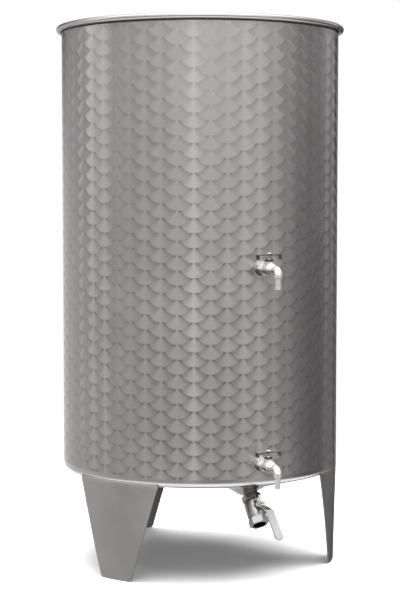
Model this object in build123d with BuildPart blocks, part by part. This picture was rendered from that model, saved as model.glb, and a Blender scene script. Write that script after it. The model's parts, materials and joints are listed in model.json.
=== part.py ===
"""Open-topped stainless storage tank on three sheet legs, with two sampling taps and a drain valve.

Millimetres, +Z up. The origin is on the tank's axis at floor level. The taps and the drain face -Y.
"""

import os
from math import asin, cos, degrees, radians, sin

from build123d import *

# ---------------------------------------------------------------- tank: driving dimensions
tank_radius = 320.0
sheet = 1.0
hem_z = 215.0
band_height = 20.0
shell_height = 1000.0
knuckle_radius = 14.0
bead_radius = 6.75
bead_lip_cut = 4.3

# Floor: almost flat, falling to a pressed sump near the front that ends in a small round tip.
sump_inset = 78.0
sump_radius = 52.0
sump_fall = 7.0
tip_inset = 79.5
tip_radius = 14.0
tip_fall = 30.0

# ---------------------------------------------------------------- legs
leg_azimuths = {"leg_front_left": -61.0, "leg_front_right": 54.0, "leg_rear": 186.0}
leg_sheet = 3.0
leg_lean = 5.0
leg_bend_height = 7.0
leg_seat_angle = 48.0
leg_top_half_angle = 20.1
leg_foot_half_angle = 7.6
leg_corner = 4.0
weld_radius = 1.9

# ---------------------------------------------------------------- fits and gaps
weld_gap = 0.05
thread_gap = 0.05
running_gap = 0.05
seat_gap = 0.05
assembly_gap = 0.10
stop_gap = 0.6
cavity_gap = 0.6
gland_gap = 0.3

# ---------------------------------------------------------------- drain valve
drain_inset = 52.2
drain_slope = 53.0
nipple_radius = 16.85
nipple_bore = 13.6
nipple_inside = 16.0
nipple_end = 22.0
valve_start = 6.0
valve_hex = 38.0
valve_hex_length = 14.0
valve_hex_turn = 30.0
valve_barrel_radius = 20.6
valve_waist_radius = 18.4
valve_ball_at = 40.0
valve_ball_radius = 15.0
valve_port_radius = 10.0
valve_seat_back = 1.32
valve_seat_nose = 5.5
valve_joint_at = 60.0
valve_cap_shoulder = 2.4
valve_cap_plug = 7.5
valve_plug_step = 1.6
valve_end = 78.0
valve_thread_radius = 15.15
valve_thread_depth = 16.0
joint_groove = 0.4
flat_relief = 0.4

valve_boss_radius = 9.6
valve_boss_top = 27.0
valve_stem_radius = 4.5
valve_slot_floor = 11.0
valve_slot_width = 4.1
valve_tang_length = 9.0
valve_collar_radius = 6.3
valve_collar_top = 17.4
valve_packing_floor = 19.0
valve_packing_height = 4.0
valve_packing_radius = 6.6
valve_gland_hex = 16.0
valve_gland_head = 5.0
valve_hub_at = 38.0
valve_flats = 6.0
valve_stem_top = 47.5
valve_nut_hex = 13.0
valve_nut_height = 4.6
washer_height = 1.0
washer_radius = 7.2

lever_sheet = 2.5
lever_width = 14.0
lever_hub_radius = 10.0
lever_crank_start = 12.0
lever_crank_end = 33.0
lever_rise = 23.5
lever_reach = 104.0
lever_tip_rise = 30.5
lever_bend_radius = 4.0
stop_inner = 11.0
stop_outer = 14.0
stop_tab_width = 6.0
stop_tab_depth = 9.0
stop_lug_width = 5.0
stop_lug_top = 31.0

sleeve_length = 75.0
sleeve_width = 19.5
sleeve_thickness = 7.4
sleeve_overhang = 4.0
sleeve_rounding = 2.6

# ---------------------------------------------------------------- sampling taps
tap_heights = {"upper_tap": 692.0, "lower_tap": 267.0}
socket_radius = 13.5
socket_flange_radius = 17.0
socket_nose_radius = 13.6
socket_reach = 10.0
socket_edge = 0.8
tap_thread_radius = 10.5
tap_shank_start = 1.0
tap_hex = 28.0
tap_hex_start = 12.0
tap_hex_length = 10.0
tap_barrel_radius = 12.4
tap_barrel_end = 50.0
tap_nose_radius = 10.4
tap_nose_end = 58.0
tap_elbow_radius = 8.0
tap_elbow_bend = 11.0
tap_reach = 80.0
tap_elbow_drop = 17.0
tap_port_radius = 4.5
tap_ball_at = 37.0
tap_ball_radius = 8.0
tap_seat_back = 0.386
tap_seat_nose = 3.0
tap_retainer_length = 4.0
tap_retainer_bore = 5.5
tap_boss_radius = 9.4
tap_boss_top = 16.0
tap_stem_radius = 3.0
tap_slot_floor = 5.6
tap_slot_width = 2.1
tap_tang_length = 5.4
tap_packing_floor = 10.8
tap_packing_height = 2.6
tap_packing_radius = 5.6
tap_gland_hex = 17.0
tap_gland_head = 5.5
tap_handle_at = 29.5
tap_handle_sheet = 1.8
tap_handle_half = 27.5
tap_handle_width = 13.5
tap_handle_waist = 10.0
tap_handle_fold = 11.0
tap_stem_top = 35.6
tap_flats = 4.4
tap_nut_hex = 9.0
tap_nut_height = 3.6

spout_radius = 6.15
spout_bore = 4.75
spout_insert = 7.0
spout_shank_radius = 5.7
spout_shoulder_gap = 0.5
spout_drop = 42.0

hex_corner_cut = 1.2

# ---------------------------------------------------------------- derived places
band_top_z = hem_z + band_height
rim_z = band_top_z + shell_height
bead_centre_r = tank_radius - sheet + bead_radius
bead_centre_z = rim_z - bead_radius
cone_radius = tank_radius - knuckle_radius
sump_centre = tank_radius - sump_inset
tip_centre = tank_radius - tip_inset
leg_seat_r = cone_radius + knuckle_radius * sin(radians(leg_seat_angle))
leg_seat_z = hem_z + knuckle_radius * (1 - cos(radians(leg_seat_angle)))

drain_radius = tank_radius - drain_inset
sump_front = sump_centre + sump_radius
tip_front = tip_centre + tip_radius
sump_share = (drain_radius - tip_front) / (sump_front - tip_front)
drain_z = hem_z - tip_fall + sump_share * (tip_fall - sump_fall)
slope = radians(drain_slope)
valve_seat_reach = (valve_ball_radius**2 - valve_port_radius**2) ** 0.5 + valve_seat_back
tap_seat_reach = (tap_ball_radius**2 - tap_port_radius**2) ** 0.5 + tap_seat_back
drain_point = Vector(0, -drain_radius, drain_z)
drain_axis = Vector(0, -cos(slope), -sin(slope))
stem_axis = Vector(0, -sin(slope), cos(slope))

FRONT = (0, -1, 0)
SIDE = (1, 0, 0)


def write(name, piece):
    """Label a finished piece and write it as its own file."""
    piece.label = name
    export_step(piece, f"parts/{name}.step")


def ring(plane, outer, inner, length):
    """A plain tube standing on a plane."""
    with BuildPart() as tube:
        with BuildSketch(plane):
            Circle(outer)
            Circle(inner, mode=Mode.SUBTRACT)
        extrude(amount=length)
    return tube.part


def hexagon(plane, flats, length, turn=0):
    """A hexagonal blank with its corners turned off at both ends, turned by an angle about its axis."""
    with BuildPart() as blank:
        with BuildSketch(plane):
            Circle(flats / 3**0.5)
        extrude(amount=length)
        chamfer(blank.edges().filter_by(GeomType.CIRCLE), hex_corner_cut)
        with BuildSketch(plane):
            RegularPolygon(flats / 2, 6, major_radius=False, rotation=turn)
        extrude(amount=length, mode=Mode.INTERSECT)
    return blank.part


def flatted(plane, radius, flats, length):
    """A round bar with two flats across it."""
    with BuildPart() as bar:
        with BuildSketch(plane):
            Circle(radius)
            Rectangle(2 * radius, flats, mode=Mode.INTERSECT)
        extrude(amount=length)
    return bar.part


def slotted_ball(centre, flow, up, radius, port, slot_floor, slot_width):
    """A ball with a straight port along flow and a driving slot across its top."""
    across = up.cross(flow)
    with BuildPart() as ball:
        with BuildSketch(Plane(centre, x_dir=flow, z_dir=across)):
            with BuildLine():
                CenterArc((0, 0), radius, 0, 180)
                Line((-radius, 0), (radius, 0))
            make_face()
        revolve(axis=Axis(centre, flow))
        with BuildSketch(Plane(centre - flow * radius * 1.5, x_dir=across, z_dir=flow)):
            Circle(port)
        extrude(amount=radius * 3, mode=Mode.SUBTRACT)
        with BuildSketch(Plane(centre + up * slot_floor, x_dir=across, z_dir=up)):
            Rectangle(radius * 3, slot_width)
        extrude(amount=radius, mode=Mode.SUBTRACT)
    return ball.part


def seat_pair(centre, flow, ball_radius, reach, nose, outer, bore):
    """Two seat rings, one each side of the ball, hollowed to its curve."""
    with BuildPart() as seats:
        for way in (flow, flow * -1):
            with BuildSketch(Plane(centre + way * nose, z_dir=way)):
                Circle(outer)
                Circle(bore, mode=Mode.SUBTRACT)
            extrude(amount=reach - nose)
        with BuildSketch(Plane(centre, x_dir=flow, z_dir=SIDE)):
            with BuildLine():
                CenterArc((0, 0), ball_radius + seat_gap, 0, 180)
                Line((-ball_radius - seat_gap, 0), (ball_radius + seat_gap, 0))
            make_face()
        revolve(axis=Axis(centre, flow), mode=Mode.SUBTRACT)
    return seats.part


# ================================================================ tank
def tap_plane(height, out):
    """A plane square to a tap's flow, at a distance out from the shell's outer face."""
    return Plane((0, -tank_radius - out, height), x_dir=SIDE, z_dir=FRONT)


def make_shell():
    """Rolled wall with its top edge curled outward into a hollow bead."""
    with BuildPart() as shell:
        with BuildSketch(Plane.XZ):
            with Locations((bead_centre_r, bead_centre_z)):
                Circle(bead_radius)
                Circle(bead_radius - sheet, mode=Mode.SUBTRACT)
            lip = bead_radius - bead_lip_cut
            with Locations((bead_centre_r - bead_radius + lip / 2, bead_centre_z - bead_radius)):
                Rectangle(lip, 2 * bead_radius, mode=Mode.SUBTRACT)
            wall = bead_centre_z - band_top_z
            with Locations((tank_radius - sheet / 2, band_top_z + wall / 2)):
                Rectangle(sheet, wall)
        revolve(axis=Axis.Z)
        for height in tap_heights.values():
            with BuildSketch(tap_plane(height, -socket_radius)):
                Circle(socket_radius + weld_gap)
            extrude(amount=2 * socket_radius, mode=Mode.SUBTRACT)
    return shell.part


def floor_outline(wall):
    """The solid under the tank's floor line, moved inward by a wall thickness."""
    low = hem_z + wall
    with BuildPart() as outline:
        with BuildSketch(Plane.XZ):
            with BuildLine():
                arc = CenterArc((cone_radius, hem_z + knuckle_radius), knuckle_radius - wall, -90, 90)
                Line(arc @ 1, (tank_radius - wall, band_top_z))
                Line((tank_radius - wall, band_top_z), (0, band_top_z))
                Line((0, band_top_z), (0, low))
                Line((0, low), arc @ 0)
            make_face()
        revolve(axis=Axis.Z)
        with BuildSketch(Plane.XY.offset(low)):
            Circle(cone_radius)
        with BuildSketch(Plane.XY.offset(low - sump_fall)):
            with Locations((0, -sump_centre)):
                Circle(sump_radius)
        with BuildSketch(Plane.XY.offset(low - tip_fall)):
            with Locations((0, -tip_centre)):
                Circle(tip_radius)
        loft(ruled=True)
    return outline.part


def valve_plane(along):
    """A plane square to the drain's flow, at a distance down its axis."""
    return Plane(drain_point + drain_axis * along, x_dir=SIDE, z_dir=drain_axis)


def make_floor(outside, inside):
    """Pressed floor: rounded knuckle, shallow fall and sump, with the drain hole."""
    with BuildPart() as dish:
        add(outside)
        add(inside, mode=Mode.SUBTRACT)
        with BuildSketch(valve_plane(-nipple_inside)):
            Circle(nipple_radius + weld_gap)
        extrude(amount=nipple_inside + valve_start, mode=Mode.SUBTRACT)
    return dish.part


def make_nipple(inside):
    """Drain pipe stub, cut flush with the inside of the floor."""
    with BuildPart() as nipple:
        add(ring(valve_plane(-nipple_inside), nipple_radius, nipple_bore, nipple_inside + nipple_end))
        add(inside, mode=Mode.SUBTRACT)
    return nipple.part


# ================================================================ legs
def leg_side_plane(way, drop_corner=False):
    """The plane of one side of a leg that faces +X, or of the cut across its foot's corner."""
    top = radians(leg_top_half_angle)
    foot = radians(leg_foot_half_angle)
    foot_radius = tank_radius - leg_lean
    high = Vector(tank_radius * cos(top), way * tank_radius * sin(top), leg_seat_z)
    low = Vector(foot_radius * cos(foot), way * foot_radius * sin(foot), 0)
    middle = (top + foot) / 2
    out = Vector(cos(middle), way * sin(middle), 0)
    normal = out.cross(high - low).normalized() * way * -1
    if drop_corner:
        rise = (high - low).normalized() * (leg_corner / (high - low).normalized().Z)
        return Plane(low + rise, x_dir=out, z_dir=(normal + Vector(0, 0, -1)).normalized())
    return Plane(high, x_dir=out, z_dir=normal)


def make_leg(outside):
    """One leg, facing +X: a tapered plate curved to the shell, its top bent in to sit on the knuckle."""
    foot_radius = tank_radius - leg_lean
    bend_z = leg_seat_z - leg_bend_height
    with BuildPart() as leg:
        with BuildSketch(Plane.XZ):
            with BuildLine():
                Polyline(
                    (foot_radius - leg_sheet, 0),
                    (foot_radius, 0),
                    (tank_radius, bend_z),
                    (leg_seat_r + leg_sheet, leg_seat_z),
                    (leg_seat_r, leg_seat_z),
                    (tank_radius - leg_sheet, bend_z),
                    close=True,
                )
            make_face()
        revolve(axis=Axis.Z)
        for way in (1, -1):
            split(bisect_by=leg_side_plane(way), keep=Keep.BOTTOM)
            split(bisect_by=leg_side_plane(way, True), keep=Keep.BOTTOM)
        add(outside, mode=Mode.SUBTRACT)
    return leg.part


def make_leg_weld(leg, outside):
    """Bead along the top edge of a leg that faces +X, lying on the knuckle."""
    half = leg_top_half_angle - 0.5
    start = Plane((0, 0, 0), x_dir=(cos(radians(half)), -sin(radians(half)), 0), z_dir=(
        -sin(radians(half)), -cos(radians(half)), 0))
    with BuildPart() as weld:
        with BuildSketch(start):
            with Locations((leg_seat_r + leg_sheet * 0.7, leg_seat_z + weld_radius * 0.5)):
                Circle(weld_radius)
        revolve(axis=Axis.Z, revolution_arc=2 * half)
        add(leg, mode=Mode.SUBTRACT)
        add(outside, mode=Mode.SUBTRACT)
    return weld.part


# ================================================================ drain valve
def stem_plane(up):
    """A plane square to the drain valve's stem, at a height above the flow axis."""
    centre = drain_point + drain_axis * valve_ball_at
    return Plane(centre + stem_axis * up, x_dir=SIDE, z_dir=stem_axis)


def stop_lug_angle():
    """Angle from a stop lug to the lever's tab when they stand stop_gap apart."""
    tab = asin(stop_tab_width / 2 / stop_inner)
    lug = asin(stop_lug_width / 2 / stop_inner)
    return degrees(tab + lug + stop_gap / stop_inner)


def make_valve_body():
    """Female-threaded body with its stem boss and two stop lugs."""
    cavity = valve_ball_radius + cavity_gap
    ball = drain_point + drain_axis * valve_ball_at
    inlet = hexagon(valve_plane(valve_start), valve_hex, valve_hex_length, valve_hex_turn)
    hex_end = valve_start + valve_hex_length
    seat_floor = valve_ball_at - valve_seat_reach
    with BuildPart() as body:
        add(inlet)
        with BuildSketch(Plane(drain_point, x_dir=drain_axis, z_dir=SIDE)):
            with BuildLine():
                Polyline(
                    (hex_end, 0),
                    (hex_end, valve_waist_radius),
                    (hex_end + 5, valve_barrel_radius),
                    (valve_joint_at - 4, valve_barrel_radius),
                    (valve_joint_at, valve_barrel_radius - 1),
                    (valve_joint_at, 0),
                    close=True,
                )
            make_face()
        revolve(axis=Axis(drain_point, drain_axis))
        with BuildSketch(stem_plane(0)):
            Circle(valve_boss_radius)
        extrude(amount=valve_boss_top)
        turn = stop_lug_angle()
        lug_inner = valve_gland_hex / 3**0.5 + gland_gap
        for angle in (90 + turn, -turn):
            with BuildSketch(stem_plane(valve_boss_top / 2)):
                with PolarLocations((lug_inner + stop_outer) / 2, 1, start_angle=angle):
                    Rectangle(stop_outer - lug_inner, stop_lug_width)
            extrude(amount=stop_lug_top - valve_boss_top / 2)
        with BuildSketch(valve_plane(valve_start)):
            Circle(nipple_radius + thread_gap)
        extrude(amount=nipple_end + assembly_gap - valve_start, mode=Mode.SUBTRACT)
        with BuildSketch(valve_plane(nipple_end)):
            Circle(valve_port_radius)
        extrude(amount=valve_ball_at - nipple_end, mode=Mode.SUBTRACT)
        with BuildSketch(valve_plane(seat_floor)):
            Circle(cavity)
        extrude(amount=valve_end - seat_floor, mode=Mode.SUBTRACT)
        with BuildSketch(valve_plane(valve_joint_at - valve_cap_plug)):
            Circle(valve_plug_radius())
        extrude(amount=valve_cap_plug + 1, mode=Mode.SUBTRACT)
        with BuildSketch(Plane(ball, x_dir=SIDE, z_dir=stem_axis)):
            Circle(valve_collar_radius + cavity_gap)
        extrude(amount=valve_collar_top + assembly_gap, mode=Mode.SUBTRACT)
        with BuildSketch(Plane(ball, x_dir=SIDE, z_dir=stem_axis)):
            Circle(valve_stem_radius + running_gap)
        extrude(amount=valve_boss_top + 1, mode=Mode.SUBTRACT)
        with BuildSketch(stem_plane(valve_packing_floor)):
            Circle(valve_packing_radius + thread_gap)
        extrude(amount=valve_boss_top, mode=Mode.SUBTRACT)
    return body.part


def valve_plug_radius():
    """Radius of the threaded bore in the body that takes the end cap."""
    return valve_ball_radius + cavity_gap + valve_plug_step


def make_valve_cap():
    """Screwed end cap with the outlet's female thread."""
    shoulder = valve_joint_at + joint_groove
    hex_start = shoulder + valve_cap_shoulder
    head = hexagon(valve_plane(hex_start), valve_hex, valve_end - hex_start, valve_hex_turn)
    plug_start = valve_joint_at - valve_cap_plug + assembly_gap
    with BuildPart() as cap:
        add(head)
        with BuildSketch(valve_plane(shoulder)):
            Circle(valve_barrel_radius - 0.8)
        extrude(amount=valve_cap_shoulder)
        with BuildSketch(valve_plane(plug_start)):
            Circle(valve_plug_radius() - thread_gap)
        extrude(amount=shoulder - plug_start)
        with BuildSketch(valve_plane(plug_start)):
            Circle(valve_port_radius)
        extrude(amount=valve_end - plug_start, mode=Mode.SUBTRACT)
        with BuildSketch(valve_plane(valve_end - valve_thread_depth)):
            Circle(valve_thread_radius)
        extrude(amount=valve_thread_depth + 1, mode=Mode.SUBTRACT)
    return cap.part


def make_valve_stem():
    """Blow-out-proof stem: driving tang, collar, shaft and flats."""
    tang_floor = valve_slot_floor + assembly_gap
    collar_floor = valve_ball_radius + cavity_gap + assembly_gap
    with BuildPart() as stem:
        with BuildSketch(stem_plane(tang_floor)):
            Rectangle(valve_tang_length, valve_slot_width - assembly_gap)
        extrude(amount=collar_floor - tang_floor)
        with BuildSketch(stem_plane(collar_floor)):
            Circle(valve_collar_radius)
        extrude(amount=valve_collar_top - collar_floor)
        with BuildSketch(stem_plane(valve_collar_top)):
            Circle(valve_stem_radius)
        extrude(amount=valve_hub_at - valve_collar_top - assembly_gap / 2)
        add(flatted(stem_plane(valve_hub_at - assembly_gap / 2), valve_stem_radius - flat_relief, valve_flats,
                    valve_stem_top - valve_hub_at))
    return stem.part


def make_lever():
    """Cranked sheet lever with a round hub and a folded stop tab."""
    mid = valve_hub_at + lever_sheet / 2
    side = Plane(drain_point + drain_axis * valve_ball_at, x_dir=drain_axis, z_dir=SIDE)
    with BuildPart() as lever:
        with BuildSketch(side):
            with BuildLine():
                run = FilletPolyline(
                    (0, -mid),
                    (lever_crank_start, -mid),
                    (lever_crank_end, -mid - lever_rise),
                    (lever_reach, -mid - lever_tip_rise),
                    radius=lever_bend_radius,
                )
            trace(run, lever_sheet)
        extrude(amount=lever_width / 2, both=True)
        with BuildSketch(stem_plane(valve_hub_at)):
            Circle(lever_hub_radius)
            with Locations((0, (lever_hub_radius + stop_outer) / 2)):
                Rectangle(stop_tab_width, stop_outer - lever_hub_radius + 2)
        extrude(amount=lever_sheet)
        with BuildSketch(stem_plane(valve_hub_at)):
            with Locations((0, (stop_inner + stop_outer) / 2)):
                Rectangle(stop_tab_width, stop_outer - stop_inner)
        extrude(amount=-stop_tab_depth)
        add(flatted(stem_plane(valve_hub_at - 1), valve_stem_radius - flat_relief + assembly_gap,
                    valve_flats + assembly_gap, lever_sheet + 2), mode=Mode.SUBTRACT)
    return lever.part


def make_lever_sleeve(lever):
    """Dipped vinyl sleeve over the far end of the lever."""
    mid = valve_hub_at + lever_sheet / 2
    centre = drain_point + drain_axis * valve_ball_at
    start = centre + drain_axis * lever_crank_end + stem_axis * (mid + lever_rise)
    end = centre + drain_axis * lever_reach + stem_axis * (mid + lever_tip_rise)
    along = (end - start).normalized()
    tip = end + along * sleeve_overhang
    grip = Plane(tip - along * sleeve_length, x_dir=along, z_dir=Vector(*SIDE).cross(along))
    straight = sleeve_length - sleeve_width / 2
    with BuildPart() as sleeve:
        with BuildSketch(grip):
            with Locations((straight / 2, 0)):
                Rectangle(straight, sleeve_width)
            with Locations((straight, 0)):
                Circle(sleeve_width / 2)
        extrude(amount=sleeve_thickness / 2, both=True)
        faces = sleeve.faces().filter_by(Plane(grip.origin, z_dir=grip.z_dir))
        fillet(faces.edges(), sleeve_rounding)
        add(lever, mode=Mode.SUBTRACT)
    return sleeve.part


# ================================================================ sampling taps
def tap_stem_plane(height, up):
    """A plane square to a tap's stem, at a height above its flow axis."""
    return Plane((0, -tank_radius - tap_ball_at, height + up), x_dir=SIDE, z_dir=(0, 0, 1))


def make_socket(height):
    """Threaded socket let into the shell: a tapered collar outside, level with the wall inside."""
    with BuildPart() as socket:
        with BuildSketch(Plane((0, -tank_radius, height), x_dir=FRONT, z_dir=SIDE)):
            with BuildLine():
                Polyline(
                    (-sheet, 0),
                    (-sheet, socket_radius),
                    (0, socket_radius),
                    (0, socket_flange_radius),
                    (socket_edge, socket_flange_radius),
                    (socket_reach - socket_edge, socket_nose_radius),
                    (socket_reach, socket_nose_radius - socket_edge),
                    (socket_reach, 0),
                    close=True,
                )
            make_face()
        revolve(axis=Axis((0, 0, height), FRONT))
        with BuildSketch(tap_plane(height, -2 * sheet)):
            Circle(tap_thread_radius)
        extrude(amount=socket_reach + 3 * sheet, mode=Mode.SUBTRACT)
    return socket.part


def make_tap_body(height):
    """One-piece body: threaded shank, hexagon, barrel, stem boss and down-turned elbow."""
    cavity = tap_ball_radius + cavity_gap
    seat_floor = tap_ball_at + tap_seat_reach
    wrench = hexagon(tap_plane(height, tap_hex_start), tap_hex, tap_hex_length)
    start = Vector(0, -tank_radius - tap_barrel_end, height)
    corner = Vector(0, -tank_radius - tap_reach, height)
    with BuildPart() as body:
        add(wrench)
        with BuildSketch(tap_plane(height, tap_shank_start)):
            Circle(tap_thread_radius - thread_gap)
        extrude(amount=tap_hex_start - tap_shank_start)
        with BuildSketch(tap_plane(height, tap_hex_start + tap_hex_length)):
            Circle(tap_barrel_radius)
        extrude(amount=tap_barrel_end - tap_hex_start - tap_hex_length)
        chamfer(body.faces().sort_by(Axis.Y)[0].edges(), 1.0)
        with BuildSketch(tap_plane(height, tap_barrel_end)):
            Circle(tap_nose_radius)
        extrude(amount=tap_nose_end - tap_barrel_end)
        chamfer(body.faces().sort_by(Axis.Y)[0].edges(), 0.8)
        with BuildSketch(tap_stem_plane(height, 0)):
            Circle(tap_boss_radius)
        extrude(amount=tap_boss_top)
        with BuildLine():
            FilletPolyline(start, corner, corner - Vector(0, 0, tap_elbow_drop), radius=tap_elbow_bend)
        with BuildSketch(tap_plane(height, tap_barrel_end)):
            Circle(tap_elbow_radius)
        sweep()
        with BuildSketch(tap_plane(height, 0)):
            Circle(cavity)
        extrude(amount=seat_floor, mode=Mode.SUBTRACT)
        with BuildSketch(tap_plane(height, 0)):
            Circle(cavity)
        extrude(amount=-5, mode=Mode.SUBTRACT)
        with BuildLine():
            FilletPolyline(start + Vector(0, tap_barrel_end - seat_floor + 1, 0), corner,
                           corner - Vector(0, 0, tap_elbow_drop), radius=tap_elbow_bend)
        with BuildSketch(tap_plane(height, seat_floor - 1)):
            Circle(tap_port_radius)
        sweep(mode=Mode.SUBTRACT)
        with BuildSketch(Plane(corner - Vector(0, 0, tap_elbow_drop), z_dir=(0, 0, 1))):
            Circle(spout_shank_radius + weld_gap)
        extrude(amount=spout_insert, mode=Mode.SUBTRACT)
        with BuildSketch(tap_stem_plane(height, 0)):
            Circle(tap_stem_radius + running_gap)
        extrude(amount=tap_boss_top + 1, mode=Mode.SUBTRACT)
        with BuildSketch(tap_stem_plane(height, tap_packing_floor)):
            Circle(tap_packing_radius + thread_gap)
        extrude(amount=tap_boss_top, mode=Mode.SUBTRACT)
    return body.part


def make_tap_retainer(height):
    """Screwed ring that holds the inlet seat against the ball."""
    start = tap_ball_at - tap_seat_reach - assembly_gap - tap_retainer_length
    return ring(tap_plane(height, start), tap_ball_radius + cavity_gap - thread_gap, tap_retainer_bore,
                tap_retainer_length)


def make_tap_stem(height):
    """Stem with its driving tang, shaft and handle flats."""
    tang_floor = tap_slot_floor + assembly_gap
    shaft_floor = tap_ball_radius + assembly_gap
    flats_at = tap_handle_at - assembly_gap / 2
    with BuildPart() as stem:
        with BuildSketch(tap_stem_plane(height, tang_floor)):
            Rectangle(tap_slot_width - assembly_gap, tap_tang_length)
        extrude(amount=shaft_floor - tang_floor)
        with BuildSketch(tap_stem_plane(height, shaft_floor)):
            Circle(tap_stem_radius)
        extrude(amount=flats_at - shaft_floor)
        add(flatted(tap_stem_plane(height, flats_at), tap_stem_radius - flat_relief, tap_flats,
                    tap_stem_top - flats_at))
    return stem.part


def make_tap_handle(height):
    """Butterfly handle of folded sheet, its wings widening from the hub."""
    half, fold = tap_handle_half, tap_handle_fold
    with BuildPart() as handle:
        with BuildSketch(tap_stem_plane(height, tap_handle_at)):
            with BuildLine():
                Polyline(
                    (-half, -tap_handle_width / 2),
                    (0, -tap_handle_waist / 2),
                    (half, -tap_handle_width / 2),
                    (half, tap_handle_width / 2),
                    (0, tap_handle_waist / 2),
                    (-half, tap_handle_width / 2),
                    close=True,
                )
            make_face()
            Circle(tap_handle_width / 2)
        extrude(amount=tap_handle_sheet)
        with BuildSketch(tap_stem_plane(height, tap_handle_at + tap_handle_sheet)):
            for way in (-1, 1):
                with Locations((way * (half - tap_handle_sheet / 2), 0)):
                    Rectangle(tap_handle_sheet, tap_handle_width)
        extrude(amount=-fold)
        ends = handle.edges().filter_by(Axis.Y).group_by(Axis.Z)[-1].sort_by(Axis.X)
        fillet([ends[0], ends[-1]], tap_handle_sheet * 0.6)
        add(flatted(tap_stem_plane(height, tap_handle_at - 1), tap_stem_radius - flat_relief + assembly_gap,
                    tap_flats + assembly_gap, tap_handle_sheet + 2), mode=Mode.SUBTRACT)
    return handle.part


def make_spout(height):
    """Straight down-turned pipe with a thinner shank that enters the elbow."""
    end = Vector(0, -tank_radius - tap_reach, height - spout_drop)
    shoulder = spout_drop - tap_elbow_drop - spout_shoulder_gap
    with BuildPart() as spout:
        add(ring(Plane(end, z_dir=(0, 0, 1)), spout_radius, spout_bore, shoulder))
        add(ring(Plane(end + Vector(0, 0, shoulder), z_dir=(0, 0, 1)), spout_shank_radius, spout_bore,
                 spout_shoulder_gap + spout_insert))
    return spout.part


def make_nut(plane, flats, height, bore):
    """A plain hexagon nut."""
    blank = hexagon(plane, flats, height)
    with BuildPart() as nut:
        add(blank)
        with BuildSketch(plane):
            Circle(bore)
        extrude(amount=height, mode=Mode.SUBTRACT)
    return nut.part


def make_gland(floor_plane, head_plane, thread, thread_length, flats, head, bore):
    """Gland nut: a threaded skirt that presses the packing, under a hexagon head."""
    top = hexagon(head_plane, flats, head)
    with BuildPart() as gland:
        add(top)
        with BuildSketch(floor_plane):
            Circle(thread)
        extrude(amount=thread_length)
        with BuildSketch(floor_plane):
            Circle(bore)
        extrude(amount=thread_length + head, mode=Mode.SUBTRACT)
    return gland.part


os.makedirs("parts", exist_ok=True)

# ---------------------------------------------------------------- write the tank
under_floor = floor_outline(0)
in_floor = floor_outline(sheet)
write("shell", make_shell())
write("bottom_dish", make_floor(under_floor, in_floor))
write("drain_nipple", make_nipple(in_floor))

leg = make_leg(under_floor)
leg_weld = make_leg_weld(leg, under_floor)
welds = []
for leg_name, azimuth in leg_azimuths.items():
    write(leg_name, leg.rotate(Axis.Z, azimuth - 90))
    welds.append(leg_weld.rotate(Axis.Z, azimuth - 90))
write("leg_welds", Compound(children=welds))

# ---------------------------------------------------------------- write the drain valve
valve_ball_centre = drain_point + drain_axis * valve_ball_at
seat_outer = valve_ball_radius + cavity_gap - thread_gap
gland_floor = valve_packing_floor + valve_packing_height + assembly_gap
washer_at = valve_hub_at + lever_sheet + assembly_gap / 2
nut_at = washer_at + washer_height + assembly_gap / 2
lever_blade = make_lever()
write("drain_body", make_valve_body())
write("drain_end_cap", make_valve_cap())
write("drain_seats", seat_pair(valve_ball_centre, drain_axis, valve_ball_radius, valve_seat_reach,
                               valve_seat_nose, seat_outer, valve_port_radius))
write("drain_ball", slotted_ball(valve_ball_centre, drain_axis, stem_axis, valve_ball_radius,
                                 valve_port_radius, valve_slot_floor, valve_slot_width))
write("drain_stem", make_valve_stem())
write("drain_packing", ring(stem_plane(valve_packing_floor), valve_packing_radius,
                            valve_stem_radius + running_gap, valve_packing_height))
write("drain_gland_nut", make_gland(
    stem_plane(gland_floor), stem_plane(valve_boss_top + assembly_gap), valve_packing_radius,
    valve_boss_top + assembly_gap - gland_floor, valve_gland_hex, valve_gland_head,
    valve_stem_radius + running_gap))
write("drain_lever", lever_blade)
write("drain_lever_sleeve", make_lever_sleeve(lever_blade))
write("drain_spring_washer", ring(stem_plane(washer_at), washer_radius, valve_stem_radius, washer_height))
write("drain_handle_nut", make_nut(stem_plane(nut_at), valve_nut_hex, valve_nut_height,
                                   valve_stem_radius - flat_relief + thread_gap))

# ---------------------------------------------------------------- write the two taps
across = Vector(*SIDE)
for tap_name, tap_z in tap_heights.items():
    ball_centre = Vector(0, -tank_radius - tap_ball_at, tap_z)
    gland_at = tap_packing_floor + tap_packing_height + assembly_gap
    write(f"{tap_name}_socket", make_socket(tap_z))
    write(f"{tap_name}_body", make_tap_body(tap_z))
    write(f"{tap_name}_retainer", make_tap_retainer(tap_z))
    write(f"{tap_name}_seats", seat_pair(ball_centre, Vector(*FRONT), tap_ball_radius, tap_seat_reach,
                                         tap_seat_nose, tap_ball_radius + cavity_gap - thread_gap,
                                         tap_port_radius))
    write(f"{tap_name}_ball", slotted_ball(ball_centre, across, Vector(0, 0, 1), tap_ball_radius,
                                           tap_port_radius, tap_slot_floor, tap_slot_width))
    write(f"{tap_name}_stem", make_tap_stem(tap_z))
    write(f"{tap_name}_packing", ring(tap_stem_plane(tap_z, tap_packing_floor), tap_packing_radius,
                                      tap_stem_radius + running_gap, tap_packing_height))
    write(f"{tap_name}_gland_nut", make_gland(
        tap_stem_plane(tap_z, gland_at), tap_stem_plane(tap_z, tap_boss_top + assembly_gap),
        tap_packing_radius, tap_boss_top + assembly_gap - gland_at, tap_gland_hex, tap_gland_head,
        tap_stem_radius + running_gap))
    write(f"{tap_name}_handle", make_tap_handle(tap_z))
    write(f"{tap_name}_handle_nut", make_nut(
        tap_stem_plane(tap_z, tap_handle_at + tap_handle_sheet + assembly_gap / 2), tap_nut_hex,
        tap_nut_height, tap_stem_radius - flat_relief + thread_gap))
    write(f"{tap_name}_spout", make_spout(tap_z))
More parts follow.
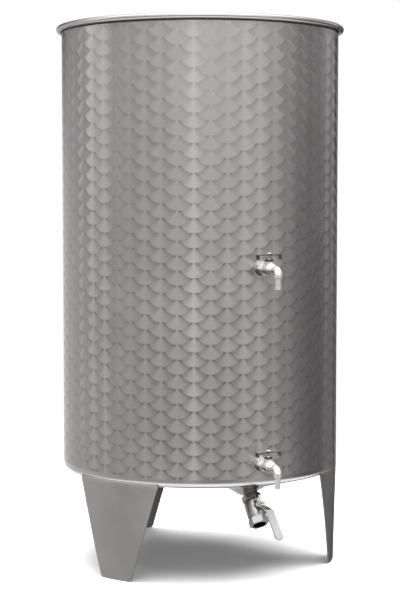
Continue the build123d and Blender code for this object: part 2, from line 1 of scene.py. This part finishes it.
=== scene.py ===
"""Looks of the open-topped stainless storage tank: finishes, welds, light and camera."""
import json
from math import atan2, cos, pi, radians, sin, sqrt

import bmesh
import bpy
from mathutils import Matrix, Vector


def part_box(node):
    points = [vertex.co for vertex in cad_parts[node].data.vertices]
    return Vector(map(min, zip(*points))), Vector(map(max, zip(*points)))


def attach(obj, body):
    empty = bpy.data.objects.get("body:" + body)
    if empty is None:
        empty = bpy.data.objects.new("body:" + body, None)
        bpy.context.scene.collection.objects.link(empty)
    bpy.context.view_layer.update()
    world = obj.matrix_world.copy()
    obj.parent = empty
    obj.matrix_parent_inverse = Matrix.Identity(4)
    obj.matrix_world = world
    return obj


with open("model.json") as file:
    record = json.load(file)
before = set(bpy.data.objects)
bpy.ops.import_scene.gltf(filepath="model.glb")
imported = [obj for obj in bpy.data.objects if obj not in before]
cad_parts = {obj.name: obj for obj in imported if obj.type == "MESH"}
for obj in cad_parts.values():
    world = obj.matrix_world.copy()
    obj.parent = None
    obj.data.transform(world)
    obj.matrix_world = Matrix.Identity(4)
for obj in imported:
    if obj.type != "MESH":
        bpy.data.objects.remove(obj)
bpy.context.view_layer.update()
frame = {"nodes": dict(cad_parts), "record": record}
nodes = frame["nodes"]

# ---------------------------------------------------------------- camera, and sizes read from the frame
FRONT_TO_CAMERA = radians(-24.4)
CAMERA_TILT = radians(3.98)
CAMERA_DISTANCE = 3.6253
CAMERA_HEIGHT = 0.8554
CAMERA_LENS = 92.81

rim_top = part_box("shell")[1].z
wall_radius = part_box("bottom_dish")[1].x
sheet_gauge = 0.001
bead_height = 0.0135
bead_underside = rim_top - bead_height


# ================================================================ node helpers
class Nodes:
    """Short ways to add shader nodes to one tree."""

    def __init__(self, tree):
        self.tree = tree

    def add(self, kind, **settings):
        node = self.tree.nodes.new(kind)
        for name, value in settings.items():
            setattr(node, name, value)
        return node

    def feed(self, socket, value):
        if isinstance(value, bpy.types.NodeSocket):
            self.tree.links.new(value, socket)
        elif value is not None:
            socket.default_value = value

    def math(self, operation, a, b=None, c=None):
        node = self.add("ShaderNodeMath", operation=operation)
        for socket, value in zip(node.inputs, (a, b, c)):
            self.feed(socket, value)
        return node.outputs[0]

    def plus(self, start, value, amount):
        """start + value x amount."""
        return self.math("MULTIPLY_ADD", value, amount, start)

    def waver(self, start, noise, amount):
        """start, moved up or down by a noise whose middle is 0.5."""
        return self.plus(start, self.math("SUBTRACT", noise, 0.5), amount)

    def length(self, a, b):
        return self.math("SQRT", self.plus(self.math("MULTIPLY", b, b), a, a))

    def vector(self, operation, a, b=None, scale=None):
        node = self.add("ShaderNodeVectorMath", operation=operation)
        self.feed(node.inputs[0], a)
        self.feed(node.inputs[1], b)
        if scale is not None:
            self.feed(node.inputs["Scale"], scale)
        return node.outputs["Value"] if operation in ("LENGTH", "DOT_PRODUCT") else node.outputs[0]

    def split(self, vector):
        node = self.add("ShaderNodeSeparateXYZ")
        self.feed(node.inputs[0], vector)
        return node.outputs

    def join(self, x, y, z):
        node = self.add("ShaderNodeCombineXYZ")
        for socket, value in zip(node.inputs, (x, y, z)):
            self.feed(socket, value)
        return node.outputs[0]

    def ramp(self, value, low, high, start=0.0, end=1.0, smooth=False):
        node = self.add("ShaderNodeMapRange", interpolation_type="SMOOTHSTEP" if smooth else "LINEAR")
        for name, number in (("Value", value), ("From Min", low), ("From Max", high),
                             ("To Min", start), ("To Max", end)):
            self.feed(node.inputs[name], number)
        return node.outputs[0]

    def mix(self, factor, a, b):
        node = self.add("ShaderNodeMix", data_type="RGBA")
        self.feed(node.inputs[0], factor)
        self.feed(node.inputs[6], a)
        self.feed(node.inputs[7], b)
        return node.outputs[2]

    def blend(self, factor, a, b):
        node = self.add("ShaderNodeMix", data_type="FLOAT")
        self.feed(node.inputs[0], factor)
        self.feed(node.inputs[2], a)
        self.feed(node.inputs[3], b)
        return node.outputs[0]

    def noise(self, vector, scale, detail=3.0, roughness=0.5):
        node = self.add("ShaderNodeTexNoise")
        self.feed(node.inputs["Vector"], vector)
        node.inputs["Scale"].default_value = scale
        node.inputs["Detail"].default_value = detail
        node.inputs["Roughness"].default_value = roughness
        return node.outputs[0]

    def line_noise(self, along, detail=2.0, roughness=0.6):
        node = self.add("ShaderNodeTexNoise", noise_dimensions="1D")
        self.feed(node.inputs["W"], along)
        node.inputs["Scale"].default_value = 1.0
        node.inputs["Detail"].default_value = detail
        node.inputs["Roughness"].default_value = roughness
        return node.outputs[0]

    def noise_vector(self, vector, scale):
        node = self.add("ShaderNodeTexNoise")
        self.feed(node.inputs["Vector"], vector)
        node.inputs["Scale"].default_value = scale
        return node.outputs["Color"]

    def blend_vector(self, factor, a, b):
        node = self.add("ShaderNodeMix", data_type="VECTOR")
        self.feed(node.inputs[0], factor)
        self.feed(node.inputs[4], a)
        self.feed(node.inputs[5], b)
        return node.outputs[1]

    def steps(self, value, stops):
        """A grey level read from a short list of (place, level), smoothly joined."""
        node = self.add("ShaderNodeValToRGB")
        self.feed(node.inputs[0], value)
        elements = node.color_ramp.elements
        node.color_ramp.interpolation = "EASE"
        for _ in stops[2:]:
            elements.new(0.5)
        for element, (at, level) in zip(elements, stops):
            element.position = at
            element.color = grey(level)
        return node.outputs[0]

    def place(self):
        return self.add("ShaderNodeTexCoord").outputs["Object"]

    def normal(self):
        return self.add("ShaderNodeNewGeometry").outputs["Normal"]

    def chance(self, column, row):
        """A fixed random value for each cell of a grid."""
        node = self.add("ShaderNodeTexWhiteNoise", noise_dimensions="2D")
        self.feed(node.inputs["Vector"], self.join(column, row, 0.0))
        return node.outputs["Value"]

    def bump(self, height, strength, distance):
        node = self.add("ShaderNodeBump")
        node.inputs["Strength"].default_value = strength
        node.inputs["Distance"].default_value = distance
        self.feed(node.inputs["Height"], height)
        return node.outputs[0]


def new_group(name, inputs, outputs):
    """A shader node group with named sockets: (name, type, default)."""
    tree = bpy.data.node_groups.new(name, "ShaderNodeTree")
    for label, kind, default in inputs:
        socket = tree.interface.new_socket(label, in_out="INPUT", socket_type=kind)
        socket.default_value = default
    for label, kind in outputs:
        tree.interface.new_socket(label, in_out="OUTPUT", socket_type=kind)
    kit = Nodes(tree)
    return kit, kit.add("NodeGroupInput").outputs, kit.add("NodeGroupOutput").inputs


def use_group(kit, name, **values):
    node = kit.add("ShaderNodeGroup", node_tree=bpy.data.node_groups[name])
    for label, value in values.items():
        kit.feed(node.inputs[label.replace("_", " ")], value)
    return node.outputs


def new_material(name, **sockets):
    """A Principled material; constant values go straight on its sockets."""
    material = bpy.data.materials.new(name)
    material.use_nodes = True
    kit = Nodes(material.node_tree)
    shader = material.node_tree.nodes["Principled BSDF"]
    for label, value in sockets.items():
        shader.inputs[label.replace("_", " ")].default_value = value
    return material, kit, shader.inputs


def grey(value):
    return (value, value, value, 1.0)


FLOAT, VECTOR = "NodeSocketFloat", "NodeSocketVector"


# ================================================================ shared effects
def make_grain_group():
    """Fine drawn lines along one axis, as left by rolling and brushing."""
    kit, given, out = new_group(
        "rolled_grain",
        [("Stretch", VECTOR, (1.0, 1.0, 1.0)), ("Fineness", FLOAT, 400.0)],
        [("Lines", FLOAT), ("Patches", FLOAT)],
    )
    place = kit.vector("MULTIPLY", kit.place(), given["Stretch"])
    lines = kit.noise(kit.vector("SCALE", place, scale=given["Fineness"]), 1.0, 4.0, 0.65)
    patches = kit.noise(kit.place(), 9.0, 4.0, 0.6)
    kit.feed(out["Lines"], lines)
    kit.feed(out["Patches"], patches)


def make_handling_group():
    """Faint smears and finger marks from handling: a mask that changes gloss."""
    kit, given, out = new_group("handling_marks", [("Size", FLOAT, 6.0)], [("Smears", FLOAT)])
    place = kit.place()
    drift = kit.vector("SUBTRACT", kit.noise_vector(place, 2.0), (0.5, 0.5, 0.5))
    dragged = kit.vector("ADD", place, kit.vector("SCALE", drift, scale=0.12))
    smears = kit.noise(kit.vector("SCALE", dragged, scale=given["Size"]), 1.0, 5.0, 0.62)
    kit.feed(out["Smears"], kit.ramp(smears, 0.42, 0.68, smooth=True))


make_grain_group()
make_handling_group()


# ================================================================ the polished wall
POLISH_COLUMNS = 56
POLISH_PITCH = 0.032
POLISH_RADIUS = 0.032
POLISH_PHASE = 0.153
# Depth of the painted shade at the sides of each polished spot: the least depth, and a random extra depth.
SPOT_PAINTED_SHADE = (0.08, 0.16)
SEAM_HALF_WIDTH = 0.0022


def disc_in_column(kit, across, height, column):
    """The highest polishing disc of one column that covers a point, and where the point is on it."""
    width = 2 * pi * wall_radius / POLISH_COLUMNS
    stagger = kit.math("MULTIPLY", kit.math("FLOORED_MODULO", column, 2.0), POLISH_PITCH / 2)
    side = kit.math("MULTIPLY", kit.math("SUBTRACT", across, column), width)
    chord = kit.math("SUBTRACT", POLISH_RADIUS**2, kit.math("MULTIPLY", side, side))
    reach = kit.math("SQRT", kit.math("MAXIMUM", chord, 0.0))
    rows = kit.math("DIVIDE", kit.math("SUBTRACT", kit.math("ADD", height, reach), stagger), POLISH_PITCH)
    row = kit.math("FLOOR", rows)
    centre = kit.plus(stagger, row, POLISH_PITCH)
    drop = kit.math("SUBTRACT", centre, height)
    covered = kit.math("LESS_THAN", kit.math("ABSOLUTE", drop), kit.math("ADD", reach, 1e-5))
    top = kit.blend(covered, -10.0, centre)
    return side, drop, column, row, top


def covering_disc(kit, angle, height):
    """The disc polished last over a point, out of the columns on its left and right."""
    across = kit.math("ADD", kit.math("MULTIPLY", angle, POLISH_COLUMNS / (2 * pi)), POLISH_PHASE)
    left = kit.math("FLOOR", across)
    on_left = disc_in_column(kit, across, height, left)
    on_right = disc_in_column(kit, across, height, kit.math("ADD", left, 1.0))
    second = kit.math("GREATER_THAN", on_right[-1], on_left[-1])
    return [kit.blend(second, a, b) for a, b in zip(on_left[:-1], on_right[:-1])]


def spot_painted_sheen_and_rings(kit, reach, cosine, column, row):
    """Painted highlight and shade on each spot (palest straight below its centre, brightest at the centre,
    darker at its sides), with fine turned rings.
    """
    chance = kit.chance(column, row)
    shade = kit.plus(SPOT_PAINTED_SHADE[0], kit.chance(row, kit.math("ADD", column, 0.5)), SPOT_PAINTED_SHADE[1])
    # Painted shade at the sides of each spot, where the polish reflects less light.
    painted_side_shade = kit.math("MULTIPLY", kit.ramp(cosine, 0.15, 1.0, 1.0, 0.0, smooth=True),
                     kit.ramp(reach, 0.006, POLISH_RADIUS, 1.0, 0.75))
    # Painted highlight at each spot's centre.
    painted_centre_highlight = kit.ramp(reach, 0.0008, 0.0034, 1.0, 0.0, smooth=True)
    rings = kit.line_noise(kit.plus(kit.math("MULTIPLY", reach, 420.0), chance, 90.0))
    tone = kit.math("SUBTRACT", 1.04, kit.math("MULTIPLY", painted_side_shade, shade))
    tone = kit.plus(tone, painted_centre_highlight, 0.16)
    tone = kit.waver(tone, rings, 0.20)
    return kit.waver(tone, chance, 0.05)


def polished_shell():
    """Sheet polished in overlapping round spots; the rolled bead, rear seam and inside stay smooth."""
    material, kit, shader = new_material(
        "circle_polished_steel", Metallic=1.0, Anisotropic=0.88, Roughness=0.30)
    x, y, z = kit.split(kit.place())
    angle = kit.math("ARCTAN2", x, kit.math("MULTIPLY", y, -1.0))
    side, drop, column, row = covering_disc(kit, angle, z)
    reach = kit.length(side, drop)
    safe_reach = kit.math("MAXIMUM", reach, 1e-4)
    cosine = kit.math("DIVIDE", drop, safe_reach)
    sine = kit.math("DIVIDE", side, safe_reach)

    around = kit.join(kit.math("COSINE", angle), kit.math("SINE", angle), 0.0)
    radial = kit.vector("ADD", kit.vector("SCALE", around, scale=sine),
                        kit.vector("SCALE", (0.0, 0.0, -1.0), scale=cosine))

    is_outside = kit.math("GREATER_THAN", kit.length(x, y), wall_radius - sheet_gauge / 2)
    below_bead = kit.ramp(z, bead_underside - 0.004, bead_underside - 0.001, 1.0, 0.0)
    from_seam = kit.math("ADD", kit.math("ABSOLUTE", x), kit.ramp(y, 0.0, 0.02, 1.0, 0.0))
    beside_seam = kit.ramp(from_seam, SEAM_HALF_WIDTH, SEAM_HALF_WIDTH + 0.001)
    pattern = kit.math("MULTIPLY", kit.math("MULTIPLY", is_outside, below_bead), beside_seam)
    # Painted shadow: a dark band in the crevice beneath the rolled bead, on the outside only.
    bead_shadow_band = kit.math(
        "MULTIPLY", kit.ramp(z, bead_underside - 0.0035, bead_underside - 0.001, smooth=True),
        kit.ramp(z, bead_underside + 0.001, bead_underside + 0.004, 1.0, 0.0, smooth=True))

    # The crevice tone is painted shadow beneath the bead.
    smooth_tone, bead_shadow_tone = 1.25, 0.16
    tone = kit.blend(pattern, smooth_tone, spot_painted_sheen_and_rings(kit, reach, cosine, column, row))
    tone = kit.blend(kit.math("MULTIPLY", is_outside, bead_shadow_band), tone, bead_shadow_tone)
    kit.feed(shader["Base Color"], kit.vector("SCALE", (0.502, 0.484, 0.480), scale=tone))

    marks = use_group(kit, "handling_marks", Size=3.0)
    polished, rolled, inside = kit.plus(0.28, marks["Smears"], 0.05), 0.22, 0.44
    rough = kit.blend(is_outside, inside, kit.blend(pattern, rolled, polished))
    kit.feed(shader["Roughness"], rough)

    lean = kit.vector("SCALE", radial, scale=kit.math("MULTIPLY", pattern, 0.006))
    kit.feed(shader["Normal"], kit.vector("NORMALIZE", kit.vector("ADD", kit.normal(), lean)))
    kit.feed(shader["Tangent"], kit.vector("NORMALIZE", kit.blend_vector(pattern, around, radial)))
    return material


# ================================================================ the other finishes
def plain_metal(name, colour, roughness, lines, fineness, relief, stretch=(1, 1, 1), metal=1.0,
                underside_shade=1.0, underside_shade_facing=(-0.05, -0.55), inward_shade=1.0):
    """Rolled, turned or cast metal with drawn lines and patchy gloss.

    Painted shade: faces that look down are darkened to a given level, over the given range of their normal's
    height, and sheared edges and faces that look at the tank's axis to another given level.
    """
    material, kit, shader = new_material(name, Metallic=metal)
    grain = use_group(kit, "rolled_grain", Stretch=stretch, Fineness=fineness)
    marks = use_group(kit, "handling_marks", Size=7.0)

    tone = kit.waver(kit.plus(0.94, grain["Patches"], 0.12), grain["Lines"], lines)
    # Painted shade on sheared edges and on faces that look at the tank's axis.
    outward = kit.vector("NORMALIZE", kit.vector("MULTIPLY", kit.place(), (1.0, 1.0, 0.0)))
    from_axis = kit.vector("DOT_PRODUCT", kit.normal(), outward)
    tone = kit.math("MULTIPLY", tone, kit.ramp(from_axis, 0.4, 0.7, inward_shade, 1.0, smooth=True))
    # Painted shade on faces that look down.
    facing = kit.split(kit.normal())[2]
    tone = kit.math("MULTIPLY", tone, kit.ramp(facing, *underside_shade_facing, 1.0, underside_shade, smooth=True))
    kit.feed(shader["Base Color"], kit.vector("SCALE", colour, scale=tone))

    rough = kit.waver(kit.plus(roughness, marks["Smears"], 0.08), grain["Lines"], 0.1)
    kit.feed(shader["Roughness"], rough)
    kit.feed(shader["Normal"], kit.bump(grain["Lines"], 0.35, relief))
    return material


def soft_plastic(name, colour, roughness, relief):
    """Moulded or dipped plastic with a fine pebbled skin."""
    material, kit, shader = new_material(name)
    marks = use_group(kit, "handling_marks", Size=20.0)
    tone = kit.plus(1.0, marks["Smears"], -0.06)
    kit.feed(shader["Base Color"], kit.vector("SCALE", colour, scale=tone))
    kit.feed(shader["Roughness"], kit.plus(roughness, marks["Smears"], 0.1))
    kit.feed(shader["Normal"], kit.bump(kit.noise(kit.place(), 1400.0, 2.0, 0.5), 0.3, relief))
    return material


# The levels for faces that look down and faces that look at the axis are painted shade, not the metals' own
# colour.
METALS = {
    "smooth_steel": dict(colour=(0.68, 0.665, 0.66), roughness=0.22, lines=0.05, fineness=260.0, relief=2e-5,
                         underside_shade=0.22, underside_shade_facing=(-0.56, -0.76)),
    "satin_steel": dict(colour=(0.52, 0.515, 0.505), roughness=0.28, lines=0.08, fineness=900.0, relief=2e-5),
    "leg_steel": dict(colour=(0.55, 0.535, 0.53), roughness=0.32, lines=0.10, fineness=300.0, relief=4e-5,
                      stretch=(3, 3, 0.25), inward_shade=0.30),
    "weld_steel": dict(colour=(0.46, 0.45, 0.44), roughness=0.30, lines=0.3, fineness=380.0, relief=3e-4),
    "cast_steel": dict(colour=(0.43, 0.42, 0.415), roughness=0.18, lines=0.14, fineness=700.0, relief=6e-5,
                       underside_shade=0.30, underside_shade_facing=(0.15, -0.45)),
    "bright_steel": dict(colour=(0.72, 0.72, 0.71), roughness=0.12, lines=0.03, fineness=900.0, relief=5e-6,
                         metal=0.9, underside_shade=0.12, underside_shade_facing=(0.10, -0.40)),
    "plated_steel": dict(colour=(0.66, 0.66, 0.64), roughness=0.16, lines=0.05, fineness=900.0, relief=1e-5),
    "lever_steel": dict(colour=(0.54, 0.54, 0.53), roughness=0.24, lines=0.08, fineness=800.0, relief=2e-5),
    "tap_chrome": dict(colour=(0.92, 0.92, 0.91), roughness=0.09, lines=0.02, fineness=900.0, relief=3e-6,
                       metal=0.72, underside_shade=0.10, underside_shade_facing=(0.05, -0.45)),
    # Handles and gland nuts: a darker, shaded copy of the tap chrome, with painted shade on every face that
    # does not look straight up.
    "tap_handle_shaded_chrome": dict(colour=(0.74, 0.74, 0.73), roughness=0.12, lines=0.02, fineness=900.0,
                              relief=3e-6, underside_shade=0.24, underside_shade_facing=(0.80, 0.20)),
}
finishes = {name: plain_metal(name, **values) for name, values in METALS.items()}
finishes["circle_polished_steel"] = polished_shell()
finishes["ptfe"] = soft_plastic("ptfe", (0.80, 0.80, 0.77), 0.45, 1e-5)
finishes["grey_vinyl"] = soft_plastic("grey_vinyl", (0.285, 0.29, 0.30), 0.36, 2e-5)

slots = {part["node"]: part["material_slot"] for part in frame["record"]["subparts"]}
for name, piece in nodes.items():
    # Tap handles and gland nuts take the shaded copy of the chrome.
    is_handle = name.endswith(("tap_handle", "tap_gland_nut"))
    piece.data.materials.clear()
    piece.data.materials.append(finishes["tap_handle_shaded_chrome" if is_handle else slots[name]])


# ================================================================ weld beads round the tap sockets
WELD_GAP = 0.0002


def weld_ring(name, socket, bead=0.0014, ripples=46, ripple_depth=0.12, steps=368, sides=8):
    """A rippled bead that follows the curved wall around one socket, laid half into it."""
    low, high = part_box(socket)
    radius = (high.x - low.x) / 2 + WELD_GAP
    height = (high.z + low.z) / 2
    mesh = bpy.data.meshes.new(name)
    work = bmesh.new()
    section = bmesh.ops.create_circle(work, segments=sides, radius=bead)["verts"]
    bmesh.ops.translate(work, verts=section, vec=(radius, 0, 0))
    bmesh.ops.spin(work, geom=work.verts[:] + work.edges[:], cent=(0, 0, 0), axis=(0, 1, 0),
                   angle=2 * pi, steps=steps, use_merge=True)
    for vert in work.verts:
        middle = Vector((vert.co.x, 0, vert.co.z)).normalized() * radius
        ripple = abs(sin(ripples * atan2(middle.z, middle.x) / 2))
        vert.co = middle + (vert.co - middle) * (1 - ripple_depth + ripple_depth * ripple)
        vert.co += Vector((0, -sqrt(wall_radius**2 - middle.x**2), height))
    bmesh.ops.recalc_face_normals(work, faces=work.faces)
    for face in work.faces:
        face.smooth = True
    work.to_mesh(mesh)
    work.free()
    mesh.materials.append(finishes["weld_steel"])
    ring = bpy.data.objects.new(name, mesh)
    bpy.context.scene.collection.objects.link(ring)
    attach(ring, "tank")


weld_ring("upper_socket_weld", "upper_tap_socket")
weld_ring("lower_socket_weld", "lower_tap_socket")


# ================================================================ floor, light and camera
FLOOR_RADIUS = 14.0
FLOOR_GLOW_FROM = 0.5
FLOOR_GLOW_FULL = 1.5


def make_floor():
    """Pale floor, seen from above only; the metal over it mirrors the dim surroundings instead of it."""
    mesh = bpy.data.meshes.new("studio_floor")
    work = bmesh.new()
    bmesh.ops.create_circle(work, cap_ends=True, segments=96, radius=FLOOR_RADIUS)
    work.to_mesh(mesh)
    work.free()
    floor = bpy.data.objects.new("studio_floor", mesh)
    bpy.context.scene.collection.objects.link(floor)
    material, kit, shader = new_material("studio_floor", Roughness=0.85)
    shader["Base Color"].default_value = grey(0.9)
    surfaces = material.node_tree.nodes
    x, y, _ = kit.split(kit.place())
    far_off = kit.add("ShaderNodeMixShader")
    kit.feed(far_off.inputs[0], kit.ramp(kit.length(x, y), FLOOR_GLOW_FROM, FLOOR_GLOW_FULL, smooth=True))
    kit.feed(far_off.inputs[1], surfaces["Principled BSDF"].outputs[0])
    kit.feed(far_off.inputs[2], kit.add("ShaderNodeEmission").outputs[0])
    mirrored = kit.add("ShaderNodeLightPath").outputs["Is Glossy Ray"]
    from_below = kit.add("ShaderNodeNewGeometry").outputs["Backfacing"]
    shown = kit.add("ShaderNodeMixShader")
    kit.feed(shown.inputs[0], kit.math("MAXIMUM", mirrored, from_below))
    kit.feed(shown.inputs[1], far_off.outputs[0])
    kit.feed(shown.inputs[2], kit.add("ShaderNodeBsdfTransparent").outputs[0])
    kit.feed(surfaces["Material Output"].inputs["Surface"], shown.outputs[0])
    mesh.materials.append(material)


# Brightness of the room by angle in degrees from the camera's side (right is positive), above and
# below the horizon. The heights are those of a unit direction.
ROOM_ABOVE = [(-180, 0.25), (-172, 0.02), (-146, 0.02), (-137, 0.38), (-110, 0.44), (-101, 1.35),
              (-84, 1.25), (-74, 0.42), (-60, 0.72), (-43, 0.90), (-17, 1.10), (-7, 1.65), (6, 1.25),
              (40, 1.20), (62, 0.90), (77, 0.52), (95, 0.36), (118, 0.38), (128, 0.62), (138, 0.95),
              (145, 0.08), (172, 0.02), (180, 0.25)]
ROOM_BELOW = [(-180, 1.10), (-166, 1.05), (-150, 0.72), (-127, 0.55), (-100, 0.48), (-72, 0.37), (-43, 0.33),
              (-20, 0.20), (-7, 0.42), (6, 0.20), (30, 0.26), (43, 0.42), (62, 0.31), (77, 0.22), (95, 0.10),
              (120, 0.08), (134, 0.26), (150, 0.07), (168, 0.10), (175, 0.30), (180, 1.10)]
PALE_FLOOR = 1.25
CEILING = 2.0
AMBIENT = 0.50
HORIZON_BLEND = (-0.01, 0.12)
CEILING_BLEND = (0.55, 0.85)
FLOOR_BLEND = (-0.35, -0.62)


def make_world():
    """White to look at; in reflections a dim room with brighter and darker sides over a pale floor."""
    world = bpy.data.worlds.new("studio")
    world.use_nodes = True
    bpy.context.scene.world = world
    kit = Nodes(world.node_tree)
    x, y, z = kit.split(kit.add("ShaderNodeTexCoord").outputs["Generated"])
    turn = kit.math("SUBTRACT", kit.math("ARCTAN2", x, kit.math("MULTIPLY", y, -1.0)), FRONT_TO_CAMERA)
    turn = kit.math("FRACT", kit.math("ADD", kit.math("DIVIDE", turn, 2 * pi), 0.5))
    above, below = (kit.steps(turn, [(at / 360 + 0.5, level) for at, level in levels])
                    for levels in (ROOM_ABOVE, ROOM_BELOW))
    room = kit.mix(kit.ramp(z, *HORIZON_BLEND, smooth=True), below, above)
    room = kit.mix(kit.ramp(z, *CEILING_BLEND, smooth=True), room, grey(CEILING))
    room = kit.mix(kit.ramp(z, *FLOOR_BLEND, smooth=True), room, grey(PALE_FLOOR))
    path = kit.add("ShaderNodeLightPath").outputs
    light = kit.mix(path["Is Glossy Ray"], grey(AMBIENT), room)
    shade = world.node_tree.nodes["Background"]
    kit.feed(shade.inputs["Color"], kit.mix(path["Is Camera Ray"], light, grey(1.0)))


def soft_light(name, azimuth, height, distance, width, tall, power, aim=0.6):
    """A rectangular soft box, placed by its angle from the camera's side, that no metal mirrors."""
    light = bpy.data.lights.new(name, "AREA")
    light.shape = "RECTANGLE"
    light.size, light.size_y = width, tall
    light.energy = power
    lamp = bpy.data.objects.new(name, light)
    turn = FRONT_TO_CAMERA + radians(azimuth)
    lamp.location = (distance * sin(turn), -distance * cos(turn), height)
    gaze = Vector((0, 0, aim)) - lamp.location
    lamp.rotation_euler = gaze.to_track_quat("-Z", "Y").to_euler()
    lamp.visible_glossy = False
    bpy.context.scene.collection.objects.link(lamp)


def make_camera():
    data = bpy.data.cameras.new("camera")
    data.lens = CAMERA_LENS
    data.sensor_width = 36.0
    camera = bpy.data.objects.new("camera", data)
    camera.location = (CAMERA_DISTANCE * sin(FRONT_TO_CAMERA), -CAMERA_DISTANCE * cos(FRONT_TO_CAMERA),
                       CAMERA_HEIGHT)
    camera.rotation_euler = (pi / 2 - CAMERA_TILT, 0, FRONT_TO_CAMERA)
    bpy.context.scene.collection.objects.link(camera)
    bpy.context.scene.camera = camera


make_floor()
make_world()
soft_light("overhead", azimuth=140, height=3.4, distance=0.4, width=5.2, tall=5.2, power=590)
soft_light("key", azimuth=-8, height=2.7, distance=3.4, width=0.9, tall=1.6, power=10)
make_camera()
bpy.context.scene.view_settings.view_transform = "Standard"
